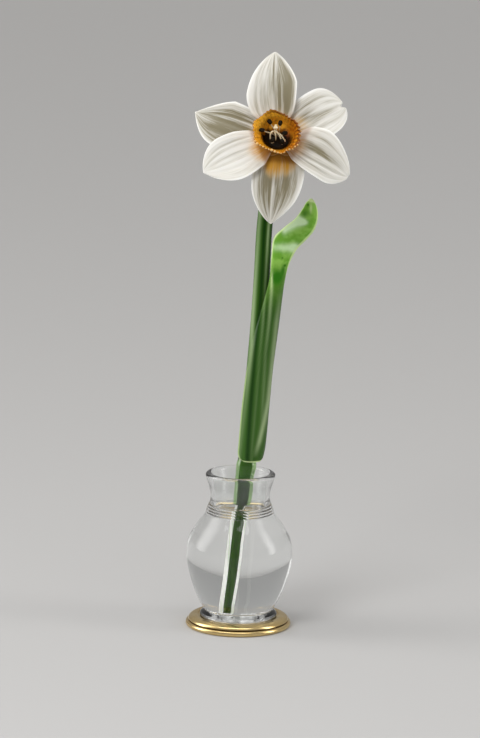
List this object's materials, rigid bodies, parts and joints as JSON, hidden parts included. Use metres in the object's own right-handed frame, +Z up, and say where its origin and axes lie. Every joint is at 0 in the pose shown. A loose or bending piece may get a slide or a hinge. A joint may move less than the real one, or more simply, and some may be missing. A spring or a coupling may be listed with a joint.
{
  "type": "narcissus flower ornament in a vase",
  "caption": "Upright narcissus ornament: a cupped bloom on a green glass stem with one leaf, set in a small solid crystal vase on a round gilt base.",
  "frame": {"origin": "centre of the gilt base's underside, on the surface that the ornament stands on", "axes": "+Z up the ornament; the bloom faces -Y and a little upwards; +X to the right as seen from the front, on the side where the leaf's tip turns out"},
  "size_m": [0.0567, 0.0467, 0.2127],
  "materials": {
    "gilt_metal": "polished gilt, softly reflecting, darker in the groove",
    "crystal": "clear polished crystal, solid to the water line",
    "stem_green": "deep green glass core cased in clear glass, polished",
    "leaf_green": "translucent green glass, polished, brighter along the edges",
    "pale_tube": "satin glaze, pale green",
    "petal_white": "cream-white carved stone, satin, grooved lengthwise, tinted amber at the root",
    "amber_enamel": "glossy amber enamel with a bright gold rim",
    "stamen_gold": "bright gold",
    "anther_dark": "dark brown, semi-gloss"
  },
  "bodies": {
    "root": {"gilt_base": "gilt_metal", "crystal_vase": "crystal", "stem": "stem_green", "leaf": "leaf_green", "flower_tube": "pale_tube", "corona": "amber_enamel", "stamens": "stamen_gold", "petal_top": "petal_white", "petal_upper_right": "petal_white", "petal_lower_right": "petal_white", "petal_bottom": "petal_white", "petal_lower_left": "petal_white", "petal_upper_left": "petal_white", "anther_1": "anther_dark", "anther_2": "anther_dark", "anther_3": "anther_dark", "anther_4": "anther_dark", "anther_5": "anther_dark", "anther_6": "anther_dark"}
  },
  "joints": []
}
